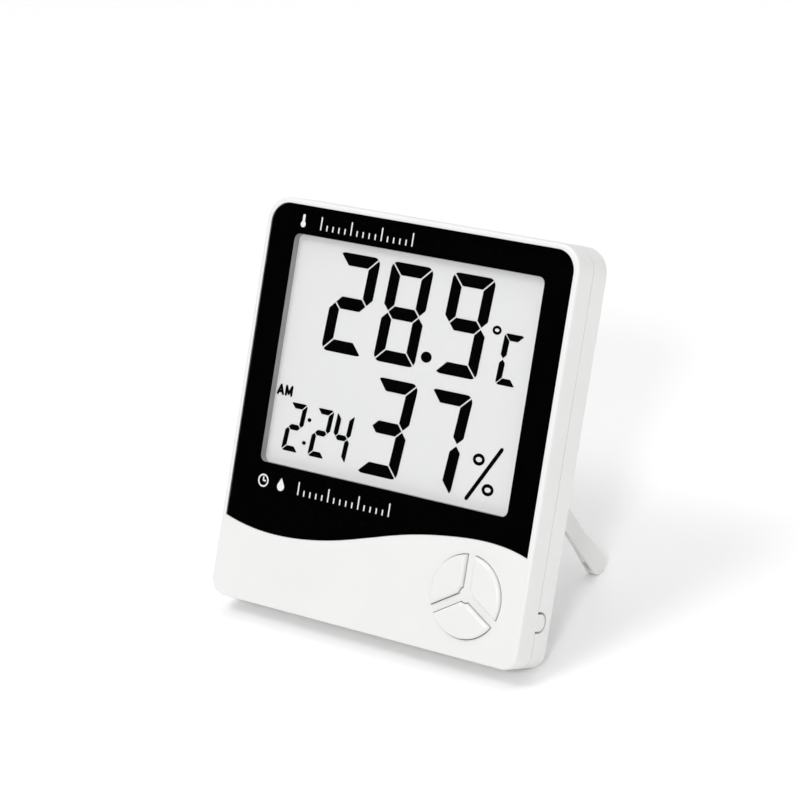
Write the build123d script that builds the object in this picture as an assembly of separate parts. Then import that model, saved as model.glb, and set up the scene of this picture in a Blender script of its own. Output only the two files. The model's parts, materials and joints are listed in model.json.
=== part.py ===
"""Desk clock with a thermometer and a hygrometer, leaning back on a fold-out leg. Millimetres.

The case is modelled upright, in the case frame: x to the right as seen from the front, y from the
front face to the back, z up the case, origin at the bottom centre of the front face. At the end
every piece is leaned back by the angle that the opened leg gives, and moved so that the object
stands on z = 0 with its origin at the bottom centre of its box.
"""
from build123d import *
import math
import os

# Clearances
overrun = 1.0            # how far a cut runs past what it cuts
root = 0.4               # how deep a rib or boss starts inside the wall that carries it
gap = 0.2                # between fixed pieces that lie beside each other
slip = 0.1               # between sliding faces
turn_gap = 0.06          # round a turning pin

# Display window and the borders round it
window_w = 80.4
window_h = 61.2
window_r = 1.8
side_border = 9.8
top_border = 9.1
bottom_band = 37.7

# Case
case_w = window_w + 2 * side_border
case_h = bottom_band + window_h + top_border
case_half = case_w / 2
case_top_r = 6.8
case_bottom_r = 4.5
front_edge_r = 0.8
rear_edge_r = 1.0
wall = 1.8
face_t = 2.0
seam_y = 6.7             # depth of the joint between the two shells
seam_gap = 0.15
rim_y = 13.7             # depth of the rear shell's rim, round the raised panel
lip_h = 1.5
lip_t = 0.8

# Black panel in front of the display
lens_side_margin = 1.6
lens_top_margin = 1.5
lens_top_r = 5.5
lens_t = 0.5
lens_drop = 0.05         # the panel lies this far below the shell's face
mask_t = 0.12
lens_gap = 0.1
wave_x_shares = (-1, -0.62, -0.21, 0.21, 0.52, 0.78, 1)
wave_z_shares = (0.2, 0.179, 0.2035, 0.2545, 0.278, 0.2838, 0.268)

# Display sandwich, from the window inwards
gasket_t = 0.9
gasket_h = 2.08
window_rib_t = 1.0
polariser_t = 0.2
glass_t = 1.1
glass_margin = 2.0       # front glass past the window, on each side
glass_ledge = 3.0        # contact ledge of the front glass, above and below the rear glass
polariser_margin = 1.0
reflector_t = 0.2
frame_wall = 0.8
frame_back_t = 2.65
frame_bar = 5.0          # width of the frame's bars behind the glass
zebra_w = 2.0

# Readings on the display: each digit's left edge and foot, as shares of the window
ink_t = 0.05
temperature_shares = (0.1667, 0.4297, 0.0531, 0.0069)    # width, height, stroke and joint, of the window
humidity_shares = (0.1654, 0.4167, 0.0531, 0.0069)
clock_shares = (0.0697, 0.2124, 0.0237, 0.0049)
unit_shares = (0.0777, 0.2157, 0.0286, 0.0041)
tall_humidity_shares = (0.1654, 0.4292, 0.0531, 0.0069)
reading_shares = (       # figure, place across and up, slant, size
    ("2", -0.684, 0.5245, 0.058, temperature_shares),
    ("8", -0.255, 0.5245, 0.058, temperature_shares),
    ("9", 0.234, 0.5265, 0.058, temperature_shares),
    ("C", 0.714, 0.529, 0.058, unit_shares),
    ("3", -0.254, 0.043, 0.1, humidity_shares),
    ("7", 0.178, 0.0305, 0.1, tall_humidity_shares),
    ("2", -0.883, 0.0632, 0.09, clock_shares),
    ("2", -0.661, 0.0632, 0.09, clock_shares),
    ("4", -0.491, 0.0632, 0.09, clock_shares),
)
figure_strokes = {
    "2": "abged", "3": "abgcd", "4": "fgbc", "7": "abc", "8": "abcdefg", "9": "abcdfg", "C": "afed",
}
digit_corner_share = 0.6   # outer corner radius, of the stroke
dot_w_share = 1.2          # width of the rings and dots, of their height
point_r_share = 0.0232     # these radii, strokes and letters are shares of the window's height
point_shares = (0.161, 0.581)
colon_r_share = 0.0085
colon_shares = ((-0.686, 0.2142), (-0.702, 0.1124))
degree_r_share = 0.0188
degree_line_share = 0.0115
degree_shares = (0.668, 0.749)
percent_r_share = 0.025
percent_line_share = 0.0143
percent_shares = ((0.6866, 0.2072), (0.7889, 0.0905))
slash_shares = ((0.8475, 0.266), (0.638, 0.0386))
slash_w_share = 0.018
half_day_w_share = 0.0742
half_day_h_share = 0.0367
half_day_line_share = 0.0115
half_day_shares = (-0.98, 0.3012)
half_day_stroke_shares = (
    ((0, 0), (0.19, 1)), ((0.19, 1), (0.38, 0)), ((0.07, 0.28), (0.31, 0.28)),
    ((0.6, 0), (0.6, 1)), ((0.6, 1), (0.8, 0.15)), ((0.8, 0.15), (1, 1)), ((1, 1), (1, 0)),
)

# White marks on the black panel: plain signs, each followed by a row of ticks
mark_h = 3.5
mark_line = 0.42
mark_left = 12.0         # from the case's side to the first mark
mark_top_gap = 5.6       # from the case's top to the upper marks' middle
mark_window_gap = 5.0    # from the window down to the lower marks' middle
mark_pitch = 6.0
tick_w = 0.4
tick_h = 1.5
tick_pitch = 2.0
tick_long_every = 5
upper_ticks = 16
lower_ticks = 16

# Circuit board
board_t = 1.2
board_gap = 0.4          # to the case wall
board_bay_gap = 5.0      # above the battery bay
tail_gap = 3.0           # beside the battery bay
board_boss_r = 1.9
board_boss_z_shares = (0.39, 0.78)
tail_boss_z = 22.5

# Screws
screw_r = 0.9
screw_head_r = 1.7
screw_head_t = 1.2
screw_slot_w = 0.4
screw_slot_d = 0.5
screw_bite = 4.4         # length in the boss
screw_hole_gap = 0.04
case_boss_r = 2.4
case_boss_x_inset = 3.8
case_boss_z_shares = (0.28, 0.89)
counterbore_d = 1.7

# Battery and its bay
cell_d = 10.5
cell_l = 44.5
cell_nub_r = 1.9
cell_nub_l = 1.2
cell_groove_d = 0.15
bay_z = 15.8
bay_floor_y = 7.2
bay_floor_t = 1.2
bay_wall = 1.6
bay_side_wall = 2.4
bay_side_gap = 0.35
spring_l = 4.5
spring_r = 2.9
spring_wire_r = 0.3
spring_turns = 3
contact_t = 0.4
contact_w = 8.0
tab_w = 3.0
tab_l = 1.7
lead_r = 0.6
lead_rise = 6.0
lead_bend_r = 2.0

# Battery door, which slides out to the left side
door_t = 1.7
door_gap = 0.4           # over the cell
door_ledge = 1.1         # door past the bay on each long side
rail_w = 1.0
rail_t = 0.7
rail_lip = 1.45          # panel left outside each rail
door_end = 1.2           # door past the bay's closed end
grip_count = 5
grip_pitch = 1.6
grip_w = 0.8
grip_d = 0.4
grip_l = 7.0

# Raised panel on the back
panel_side_border = 9.0
panel_top_border = 7.0
panel_slope = 0.36       # how much its sides run out for each unit of depth
panel_r = 5.0
panel_edge_r = 0.8

# Keyhole for a wall screw
key_drop = 18.0          # from the case's top to the round hole
key_r = 3.6
key_slot_r = 1.8
key_slot_l = 6.0
key_pocket_half = 4.6
key_pocket_d = 3.6
key_pocket_wall = 1.2

# Vents over the sensors, and sound holes
vent_x = 23.0
vent_drop = 24.0         # from the case's top to the middle slots
vent_count = 5
vent_pitch = 4.0
vent_l = 16.0
vent_w = 1.6
sound_hole_r = 0.8
sound_ring_r = 3.0
sound_holes = 6

# Fold-out leg
leg_side = 15.35         # from the case's side to the leg's middle
hinge_z = 50.0
leg_open = 55.5          # degrees from folded to open
leg_l = 47.9             # from the hinge to the foot's end
shank_w = 1.5
shank_t = 5.2
foot_w = 3.7             # at the foot's end
flare_l = 14.0           # how far from the foot's end the shank starts to widen
foot_rise = 0.5          # the foot is this much thicker, on its upper side
foot_l = 9.5
foot_ramp = 3.4
foot_r = 2.2
leg_edge_r = 0.4
hollow_l = 4.4           # hollow under the foot
hollow_w = 1.4
hollow_d = 1.2
hollow_end = 3.0         # from the hollow to the foot's end
hub_w = 5.2
hub_gap = 0.15
heel_h = 2.9
trunnion_r = 1.2
trunnion_l = 1.3
channel_half = 3.1
channel_wall = 2.0
channel_top_gap = 0.4

# Three sector buttons in one circle, with a three-armed web between them
button_side = 18.0       # from the case's side to the circle's centre
button_z = 15.8
button_r = 11.0
web_rise = 0.5           # the web's hub above the circle's centre
spoke_w = 1.95
hub_r = 2.0
button_gap = 0.25
button_proud = 1.2
button_edge_r = 0.9
button_travel = 0.8
flange_r = 11.9
flange_t = 0.8
flange_web_w = 0.8
guide_t = 1.0
plunger_ring_r = 6.3
plunger_back_r = 2.2
plunger_front_r = 2.8
mat_t = 1.0
mat_half = 12.0
mat_hole_r = 3.3

# Blind tongue at the seam of the right side
tongue_z = 12.65
tongue_w = 4.4
tongue_l = 3.7
tongue_gap = 0.6

# Small parts on the board
blob_r = 6.5
blob_t = 1.4
blob_z_share = 0.6
crystal_r = 1.0
crystal_l = 6.0
crystal_x = 12.0
capacitor_r = 2.0
capacitor_h = 5.0
capacitor_edge_r = 0.2
capacitor_pitch = 6.0
capacitor_count = 2
resistor_size = (1.6, 0.6, 0.9)
resistor_pitch = 3.2
resistor_count = 6
sensor_w = 8.0
sensor_h = 11.0
sensor_t = 1.0
sensor_lift = 2.5
sensor_leg_r = 0.3
sensor_leg_pitch = 2.54
bead_r = 1.2
buzzer_x = -20.0
buzzer_z = 52.0
buzzer_r = 10.0
buzzer_t = 0.25
ceramic_r = 7.0
ceramic_t = 0.25
buzzer_lead_r = 0.35
buzzer_lead_step = 5.0
buzzer_lead_bend_r = 1.5

# Depths that follow from the pieces in front
lens_back_y = lens_drop + lens_t
recess_y = lens_back_y + mask_t
lcd_y = recess_y + gasket_h
front_glass_y = lcd_y + polariser_t
rear_glass_y = front_glass_y + glass_t
reflector_y = rear_glass_y + glass_t
lcd_back_y = reflector_y + reflector_t
board_y = lcd_back_y + frame_back_t
board_back_y = board_y + board_t
mat_y = board_y - mat_t
cell_y = bay_floor_y + gap + cell_d / 2
door_y = cell_y + cell_d / 2 + door_gap
panel_y = door_y + door_t

# Heights and widths that follow
bay_half = cell_d / 2 + bay_side_gap
bay_top_z = bay_z + bay_half + bay_side_wall
door_half = bay_half + door_ledge
rail_half = door_half + rail_w
panel_half = case_half - panel_side_border
panel_bottom = bay_z - rail_half - slip - rail_lip
panel_top = case_h - panel_top_border
bay_x0 = bay_wall - panel_half - panel_slope * door_t
cell_x0 = bay_x0 + spring_l
cell_x1 = cell_x0 + cell_l
bay_x1 = cell_x1 + contact_t + slip
door_x1 = bay_x1 + door_end
board_z0 = bay_top_z + board_bay_gap
tail_x0 = bay_x1 + bay_wall + tail_gap
button_x = case_half - button_side
leg_x = case_half - leg_side
key_z = case_h - key_drop
vent_z = case_h - vent_drop
case_boss_x = case_half - case_boss_x_inset
board_boss_x = case_half - wall - board_boss_r
lip_inset = wall - lip_t
hinge_y = (rim_y + panel_y) / 2
leg_hub_r = (panel_y - rim_y) / 2 - hub_gap
channel_top = hinge_z + math.hypot(leg_hub_r, heel_h) + channel_top_gap
leg_slant = math.radians(90 - leg_open)

case_screw_places = [
    (side * case_boss_x, share * case_h) for side in (-1, 1) for share in case_boss_z_shares
]
board_screw_places = [
    (side * board_boss_x, share * case_h) for side in (-1, 1) for share in board_boss_z_shares
] + [(board_boss_x, tail_boss_z)]


def at_depth(outline, y):
    """Outline drawn in x and z, set at depth y."""
    return Plane.XZ.offset(-y) * outline


def slab(outline, y0, y1):
    """Solid between two depths, with its outline drawn in x and z."""
    return extrude(at_depth(outline, y0), y0 - y1)


def span(x0, x1, z0, z1):
    """Rectangle between two x and two z values."""
    return Pos((x0 + x1) / 2, (z0 + z1) / 2) * Rectangle(x1 - x0, z1 - z0)


def rod_x(radius, x0, x1, y, z):
    """Round rod along x."""
    return extrude(Plane.YZ.offset(x0) * Pos(y, z) * Circle(radius), x1 - x0)


def rod_y(radius, x, z, y0, y1):
    """Round rod along y."""
    return slab(Pos(x, z) * Circle(radius), y0, y1)


def case_outline(inset):
    """The case's front outline, drawn in by inset: large top corners, smaller bottom ones."""
    outline = span(inset - case_half, case_half - inset, inset, case_h - inset)
    outline = fillet(outline.vertices().sort_by(Axis.Y)[-2:], case_top_r - inset)
    return fillet(outline.vertices().sort_by(Axis.Y)[:2], case_bottom_r - inset)


def window_outline(grow):
    """The display window, grown on every side."""
    centre_z = bottom_band + window_h / 2
    return Pos(0, centre_z) * RectangleRounded(window_w + 2 * grow, window_h + 2 * grow, window_r + grow)


def window_block(grow_x, grow_z):
    """Plain rectangle round the window, grown sideways and upwards by different amounts."""
    return span(
        -window_w / 2 - grow_x, window_w / 2 + grow_x, bottom_band - grow_z, bottom_band + window_h + grow_z
    )


def lens_outline(grow):
    """The black panel: round top corners, straight sides and a wavy lower edge."""
    half = case_half - lens_side_margin + grow
    top = case_h - lens_top_margin + grow
    wave = [(x * half, z * case_h - grow) for x, z in zip(wave_x_shares, wave_z_shares)]
    edges = [
        Spline(*wave),
        Line(wave[-1], (half, top)),
        Line((half, top), (-half, top)),
        Line((-half, top), wave[0]),
    ]
    outline = make_face(edges)
    return fillet(outline.vertices().sort_by(Axis.Y)[-2:], lens_top_r + grow)


def web_outline(spoke, hub):
    """Three arms that meet in a round hub, drawn past the button circle."""
    outline = Pos(button_x, button_z + web_rise) * Circle(hub)
    for angle in (90, 210, 330):
        arm = Pos(button_r, 0) * Rectangle(2 * button_r, spoke)
        outline += Pos(button_x, button_z + web_rise) * Rot(Z=angle) * arm
    return outline


def sector_outlines(radius, spoke, hub):
    """The three sectors left of a disc by the web, by the button's name."""
    disc = Pos(button_x, button_z) * Circle(radius)
    sectors = (disc - web_outline(spoke, hub)).faces().sort_by(Axis.Y)
    left, right = sectors[1:].sort_by(Axis.X)
    return {"left": left, "right": right, "bottom": sectors[0]}


def tongue_outline(grow):
    """Half-round tongue on the right side, drawn in y and z, rooted in front of the seam."""
    half = tongue_w / 2 + grow
    round_y = seam_y + tongue_l - tongue_w / 2
    length = round_y - seam_y + lip_h
    plate = Pos(round_y - length / 2, tongue_z) * Rectangle(length, 2 * half)
    return plate + Pos(round_y, tongue_z) * Circle(half)


def make_front_shell():
    """Front half of the case, with the panel recess, window, button web, bosses and lip."""
    shell = slab(case_outline(0), 0, seam_y)
    shell = fillet(shell.faces().sort_by(Axis.Y)[0].edges(), front_edge_r)
    shell -= slab(case_outline(wall), face_t, seam_y + overrun)
    shell += slab(case_outline(lip_inset) - case_outline(wall), seam_y - root, seam_y + lip_h)
    shell += slab(window_outline(gasket_t + window_rib_t), face_t - root, lcd_y)
    shell -= slab(lens_outline(lens_gap), -overrun, recess_y)
    shell -= slab(window_outline(gasket_t), 0, lcd_y + overrun)
    opening = Pos(button_x, button_z) * Circle(button_r) - web_outline(spoke_w, hub_r)
    shell -= slab(opening, -overrun, face_t + overrun)
    guide_r = flange_r + button_gap
    ring = Circle(guide_r + guide_t) - Circle(guide_r)
    shell += slab(Pos(button_x, button_z) * ring, face_t - root, mat_y)
    tongue = extrude(Plane.YZ.offset(case_half - wall) * tongue_outline(0), wall)
    tongue -= slab(case_outline(0), 0, seam_y - root)
    shell += tongue
    for x, z in case_screw_places:
        shell += rod_y(case_boss_r, x, z, face_t - root, seam_y)
        shell -= rod_y(screw_r + screw_hole_gap, x, z, seam_y - screw_bite, seam_y + overrun)
    for x, z in board_screw_places:
        shell += rod_y(board_boss_r, x, z, face_t - root, board_y)
        shell -= rod_y(screw_r + screw_hole_gap, x, z, board_y - screw_bite, board_y + overrun)
    return shell


def panel_outline(y, inset):
    """Outline of the raised back panel at depth y: it narrows towards the back."""
    spread = panel_slope * (panel_y - y) - inset
    height = panel_top - panel_bottom + 2 * spread
    centre_z = (panel_top + panel_bottom) / 2
    return Pos(0, centre_z) * RectangleRounded(2 * (panel_half + spread), height, panel_r)


def panel_form(y0, y1, inset):
    """The raised panel's tapered block between two depths."""
    sections = [at_depth(panel_outline(y, inset), y) for y in (y0, y1)]
    return loft(sections, ruled=True)


def keyhole_outline():
    """Round hole with a slot above it for the shank of a wall screw."""
    slot = span(-key_slot_r, key_slot_r, key_z, key_z + key_slot_l)
    return Pos(0, key_z) * Circle(key_r) + slot + Pos(0, key_z + key_slot_l) * Circle(key_slot_r)


def vent_outline():
    """Two groups of round-ended slots."""
    slots = Sketch()
    for side in (-1, 1):
        for row in range(vent_count):
            z = vent_z + (row - (vent_count - 1) / 2) * vent_pitch
            slots += Pos(side * vent_x, z) * SlotOverall(vent_l, vent_w)
    return slots


def sound_outline():
    """A ring of sound holes round a middle one."""
    holes = Pos(buzzer_x, buzzer_z) * Circle(sound_hole_r)
    for place in PolarLocations(sound_ring_r, sound_holes):
        holes += Pos(buzzer_x, buzzer_z) * place * Circle(sound_hole_r)
    return holes


def rear_blocks():
    """Walls of the battery bay, the leg's channel and the keyhole's pocket, as full blocks."""
    bay = slab(
        span(bay_x0 - bay_wall, bay_x1 + bay_wall, bay_z - bay_half - bay_side_wall, bay_top_z),
        bay_floor_y - bay_floor_t,
        panel_y,
    )
    channel_side = channel_half + channel_wall
    channel = slab(
        span(leg_x - channel_side, leg_x + channel_side, wall, channel_top + wall), rim_y - wall, panel_y
    )
    pocket_side = key_pocket_half + key_pocket_wall
    pocket_z1 = key_z + key_slot_l + key_pocket_half
    pocket = slab(
        span(-pocket_side, pocket_side, key_z - pocket_side, pocket_z1 + key_pocket_wall),
        panel_y - wall - key_pocket_d - key_pocket_wall,
        panel_y,
    )
    return bay + channel + pocket


def make_rear_shell():
    """Rear half of the case: rim, raised panel, battery bay, leg channel, keyhole and vents."""
    rim = slab(case_outline(0), seam_y + seam_gap, rim_y)
    rim = fillet(rim.faces().sort_by(Axis.Y)[-1].edges(), rear_edge_r)
    panel = panel_form(rim_y - wall, panel_y, 0)
    panel = fillet(panel.faces().sort_by(Axis.Y)[-1].edges(), panel_edge_r)
    outer = rim + panel
    inner = slab(case_outline(wall), seam_y - overrun, rim_y - wall)
    inner += panel_form(rim_y - wall - overrun, panel_y - wall, wall)
    shell = outer - inner
    shell += rear_blocks() & (outer + slab(case_outline(wall), bay_floor_y - bay_floor_t, rim_y))
    for x, z in case_screw_places:
        shell += rod_y(case_boss_r, x, z, seam_y + seam_gap, rim_y - wall + root)
        shell -= rod_y(screw_r + slip, x, z, seam_y - overrun, rim_y)
        shell -= rod_y(screw_head_r + gap, x, z, rim_y - counterbore_d, rim_y + overrun)
    lip_room = case_outline(lip_inset - slip) - case_outline(wall + slip)
    shell -= slab(lip_room, seam_y - overrun, seam_y + lip_h + slip)
    shell -= slab(span(bay_x0, bay_x1, bay_z - bay_half, bay_z + bay_half), bay_floor_y, panel_y + overrun)
    door_room = span(-case_half, door_x1 + slip, bay_z - door_half - slip, bay_z + door_half + slip)
    shell -= slab(door_room, door_y - slip, panel_y + overrun)
    rail_room = span(-case_half, door_x1 + slip, bay_z - rail_half - slip, bay_z + rail_half + slip)
    shell -= slab(rail_room, door_y - slip, door_y + rail_t + slip)
    for x in (bay_x0, bay_x1 - contact_t):
        tab_room = span(x - slip, x + contact_t + slip, bay_z, bay_top_z + overrun)
        shell -= slab(tab_room, cell_y - tab_w / 2 - slip, cell_y + tab_w / 2 + slip)
    channel = span(leg_x - channel_half, leg_x + channel_half, -overrun, channel_top)
    shell -= slab(channel, rim_y, panel_y + overrun)
    socket = channel_half + trunnion_l + slip
    shell -= rod_x(trunnion_r + turn_gap, leg_x - socket, leg_x + socket, hinge_y, hinge_z)
    pocket_z1 = key_z + key_slot_l + key_pocket_half
    pocket = span(-key_pocket_half, key_pocket_half, key_z - key_pocket_half, pocket_z1)
    shell -= slab(pocket, panel_y - wall - key_pocket_d, panel_y - wall)
    shell -= slab(keyhole_outline(), panel_y - wall - overrun, panel_y + overrun)
    shell -= slab(vent_outline() + sound_outline(), panel_y - wall - overrun, panel_y + overrun)
    notch = Plane.YZ.offset(case_half - wall - overrun) * tongue_outline(tongue_gap)
    shell -= extrude(notch, wall + 2 * overrun)
    return shell


def make_lens_panel():
    """Clear sheet over the whole black panel and the window."""
    return slab(lens_outline(0), lens_drop, lens_back_y)


def make_lens_mask():
    """Black layer behind the sheet, open at the window, laid over the white marks."""
    layer = slab(lens_outline(0) - window_outline(0), lens_back_y, recess_y)
    return layer - slab(marks_outline(), lens_back_y - overrun, lens_back_y + ink_t)


def stroke(start, end, width):
    """Straight stroke with round ends between two points."""
    middle = ((start[0] + end[0]) / 2, (start[1] + end[1]) / 2)
    length = math.hypot(end[0] - start[0], end[1] - start[1])
    angle = math.degrees(math.atan2(end[1] - start[1], end[0] - start[0]))
    return Pos(*middle) * Rot(Z=angle) * SlotOverall(length + width, width)


def thermometer_mark():
    """Stem with a bulb at its foot, mark_h high."""
    bulb = 2 * mark_line
    stem = stroke((0, bulb - mark_h / 2), (0, mark_h / 2 - mark_line), 2 * mark_line)
    return Pos(0, bulb - mark_h / 2) * Circle(bulb) + stem


def clock_mark():
    """Ring with two hands."""
    ring = Circle(mark_h / 2) - Circle(mark_h / 2 - mark_line)
    return ring + stroke((0, 0), (0, mark_h / 4), mark_line) + stroke((0, 0), (mark_h / 5, 0), mark_line)


def drop_mark():
    """Disc drawn out to a point: the two flanks touch the disc."""
    radius = mark_h / 3
    rise = mark_h - radius
    angle = math.acos(radius / rise)
    side = radius * math.sin(angle)
    level = radius * math.cos(angle)
    drop = Circle(radius) + Polygon((side, level), (0, rise), (-side, level), align=None)
    return Pos(0, radius - mark_h / 2) * drop


def tick_row(count):
    """Row of short ticks, each fifth one long, to the right of the origin."""
    ticks = Sketch()
    for number in range(count):
        height = mark_h if number % tick_long_every == 0 else tick_h
        ticks += Pos(number * tick_pitch, (height - mark_h) / 2) * Rectangle(tick_w, height)
    return ticks


def marks_outline():
    """The signs and ticks above the window and below it."""
    left = mark_left - case_half
    upper = Pos(0, case_h - mark_top_gap)
    lower = Pos(0, bottom_band - mark_window_gap)
    marks = upper * Pos(left, 0) * thermometer_mark()
    marks += upper * Pos(left + mark_pitch, 0) * tick_row(upper_ticks)
    marks += lower * Pos(left, 0) * clock_mark()
    marks += lower * Pos(left + mark_pitch, 0) * drop_mark()
    marks += lower * Pos(left + 2 * mark_pitch, 0) * tick_row(lower_ticks)
    return marks


def make_lens_print():
    """White ink on the back of the sheet, under the black layer."""
    return slab(marks_outline(), lens_back_y, lens_back_y + ink_t)


def figure_outline(figure, slant, size_shares):
    """Slanted figure of up to seven strokes with mitred joints, from its lower left corner.

    Strokes are named a to g: top, upper right, lower right, bottom, lower left, upper left, middle.
    """
    width = size_shares[0] * window_w
    height, line, joint = [share * window_h for share in size_shares[1:]]
    half = line / 2
    cut = joint / math.sqrt(2)
    middle = height / 2
    inner_z = height - line
    top = [(cut, height), (width - cut, height), (width - line - cut, inner_z), (line + cut, inner_z)]
    side = [
        (0, height - cut), (line, height - line - cut), (line, middle + half + cut),
        (half, middle + cut), (0, middle + half + cut),
    ]
    bar = [
        (half + cut, middle), (line + cut, middle + half), (width - line - cut, middle + half),
        (width - half - cut, middle), (width - line - cut, middle - half), (line + cut, middle - half),
    ]
    strokes = {
        "a": top,
        "b": [(width - x, z) for x, z in side],
        "c": [(width - x, height - z) for x, z in side],
        "d": [(x, height - z) for x, z in top],
        "e": [(x, height - z) for x, z in side],
        "f": side,
        "g": bar,
    }
    corners = [(0, 0), (width, 0), (width + slant * height, height), (slant * height, height)]
    limit = Polygon(*corners, align=None)
    limit = fillet(limit.vertices(), line * digit_corner_share)
    slanted = Sketch()
    for name in figure_strokes[figure]:
        points = [(x + slant * z, z) for x, z in strokes[name]]
        slanted += Polygon(*points, align=None) & limit
    return slanted


def on_display(shares):
    """Place on the display from its shares of the window: across from the middle, and up."""
    return Pos(shares[0] * window_w / 2, bottom_band + shares[1] * window_h)


def dot_outline(radius):
    """Dot of the display, a little wider than high."""
    return Ellipse(radius * dot_w_share, radius)


def ring_outline(radius_share, line_share):
    """Ring of the display, its radius and line as shares of the window's height."""
    radius, line = radius_share * window_h, line_share * window_h
    return dot_outline(radius) - Ellipse(radius * dot_w_share - line, radius - line)


def half_day_outline():
    """The two letters of the morning half of the day."""
    width, height = half_day_w_share * window_h, half_day_h_share * window_h
    letters = Sketch()
    for ends in half_day_stroke_shares:
        start, end = [(x * width, z * height) for x, z in ends]
        letters += stroke(start, end, half_day_line_share * window_h)
    return letters


def make_lcd_segments():
    """The dark segments of all the readings, on the face of the display."""
    ink = on_display(point_shares) * dot_outline(point_r_share * window_h)
    for figure, x, z, slant, size_shares in reading_shares:
        ink += on_display((x, z)) * figure_outline(figure, slant, size_shares)
    for shares in colon_shares:
        ink += on_display(shares) * dot_outline(colon_r_share * window_h)
    ink += on_display(degree_shares) * ring_outline(degree_r_share, degree_line_share)
    for shares in percent_shares:
        ink += on_display(shares) * ring_outline(percent_r_share, percent_line_share)
    ends = [(place.position.X, place.position.Y) for place in map(on_display, slash_shares)]
    ink += stroke(*ends, slash_w_share * window_h)
    ink += on_display(half_day_shares) * half_day_outline()
    return slab(ink, lcd_y - ink_t, lcd_y)


def make_lcd_gasket():
    """Soft grey ring that lines the window between the panel and the display."""
    ring = window_outline(gasket_t - lens_gap) - window_outline(0)
    return slab(ring, recess_y, lcd_y)


def make_lcd_front_polariser():
    """Film on the front glass."""
    margin = gasket_t + polariser_margin / 2
    return slab(window_block(margin, margin), lcd_y, front_glass_y)


def make_lcd_front_glass():
    """Larger of the two glass plates."""
    return slab(window_block(glass_margin, glass_margin + glass_ledge), front_glass_y, rear_glass_y)


def make_lcd_rear_glass():
    """Smaller glass plate, which leaves the contact ledges free."""
    return slab(window_block(glass_margin, glass_margin), rear_glass_y, reflector_y)


def make_lcd_reflector():
    """Reflecting film behind the rear glass."""
    return slab(window_block(polariser_margin, polariser_margin), reflector_y, lcd_back_y)


def zebra_outline(side, grow):
    """Strip on the contact ledge above (1) or below (-1) the rear glass."""
    ledge_z = bottom_band + window_h / 2 + side * (window_h / 2 + glass_margin + glass_ledge / 2)
    return Pos(0, ledge_z) * Rectangle(window_w + 2 * grow, zebra_w + 2 * grow)


def make_zebra_strip(side):
    """Conductive rubber strip from the front glass to the board."""
    return slab(zebra_outline(side, 0), rear_glass_y, board_y)


def make_lcd_frame():
    """Carrier round the glass, with an open middle and slots for the rubber strips."""
    outer = window_block(glass_margin + gap + frame_wall, glass_margin + glass_ledge + gap + frame_wall)
    frame = slab(outer, face_t + gap, board_y)
    tray = window_block(glass_margin + gap, glass_margin + glass_ledge + gap)
    frame -= slab(tray, 0, rear_glass_y + slip)
    frame -= slab(window_block(glass_margin + gap, glass_margin + gap), 0, lcd_back_y)
    frame -= slab(window_block(glass_margin - frame_bar, glass_margin - frame_bar), 0, board_y + overrun)
    for side in (-1, 1):
        frame -= slab(zebra_outline(side, slip), 0, board_y + overrun)
    return frame


def board_outline():
    """L-shaped board: full width behind the display, with a tail down to the buttons.

    Its lower left corner is cut away up to the case boss there.
    """
    outline = case_outline(wall + board_gap) - span(-case_w, tail_x0, -case_h, board_z0)
    corner_x = case_boss_r + board_gap - case_boss_x
    return outline - span(-case_w, corner_x, -case_h, case_screw_places[0][1])


def make_main_board():
    """Circuit board, notched round the case bosses and drilled for its screws."""
    board = slab(board_outline(), board_y, board_back_y)
    for x, z in case_screw_places:
        board -= rod_y(case_boss_r + board_gap, x, z, 0, panel_y)
    for x, z in board_screw_places:
        board -= rod_y(screw_r + gap, x, z, 0, panel_y)
    return board


def make_screw(x, z, head_y, length):
    """Pan-head screw along y with a cross slot, its head towards the back."""
    head = rod_y(screw_head_r, x, z, head_y, head_y + screw_head_t)
    head = fillet(head.faces().sort_by(Axis.Y)[-1].edges(), screw_head_t / 2)
    slot = Rectangle(2 * screw_r, screw_slot_w) + Rectangle(screw_slot_w, 2 * screw_r)
    head -= slab(Pos(x, z) * slot, head_y + screw_head_t - screw_slot_d, head_y + screw_head_t + overrun)
    return head + rod_y(screw_r, x, z, head_y - length, head_y)


def make_case_screw(x, z):
    """One of the screws that hold the rear shell to the front shell's bosses."""
    head_y = rim_y - counterbore_d
    return make_screw(x, z, head_y, head_y - seam_y + screw_bite - gap)


def make_board_screw(x, z):
    """One of the screws that hold the board to the front shell's bosses."""
    return make_screw(x, z, board_back_y, board_t + screw_bite - gap)


def make_button(name):
    """Sector cap with rounded edges and a flange that keeps it behind the face."""
    cap_outline = sector_outlines(button_r - button_gap, spoke_w + 2 * button_gap, hub_r + button_gap)[name]
    flange_outline = sector_outlines(flange_r, flange_web_w, hub_r - button_gap)[name]
    cap = slab(cap_outline, -button_proud, face_t + gap)
    cap = fillet(cap.faces().sort_by(Axis.Y)[0].edges(), button_edge_r)
    return cap + slab(flange_outline, face_t + gap, face_t + gap + flange_t)


def plunger_place(name):
    """Middle of a button, in x and z."""
    angle = math.radians({"right": 30, "left": 150, "bottom": 270}[name])
    return button_x + plunger_ring_r * math.cos(angle), button_z + plunger_ring_r * math.sin(angle)


def make_plunger(name):
    """Tapered rubber plunger behind a button, its carbon tip short of the board."""
    x, z = plunger_place(name)
    y0 = face_t + gap + flange_t
    y1 = board_y - button_travel - gap
    return Pos(x, (y0 + y1) / 2, z) * Rot(X=-90) * Cone(plunger_front_r, plunger_back_r, y1 - y0)


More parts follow.
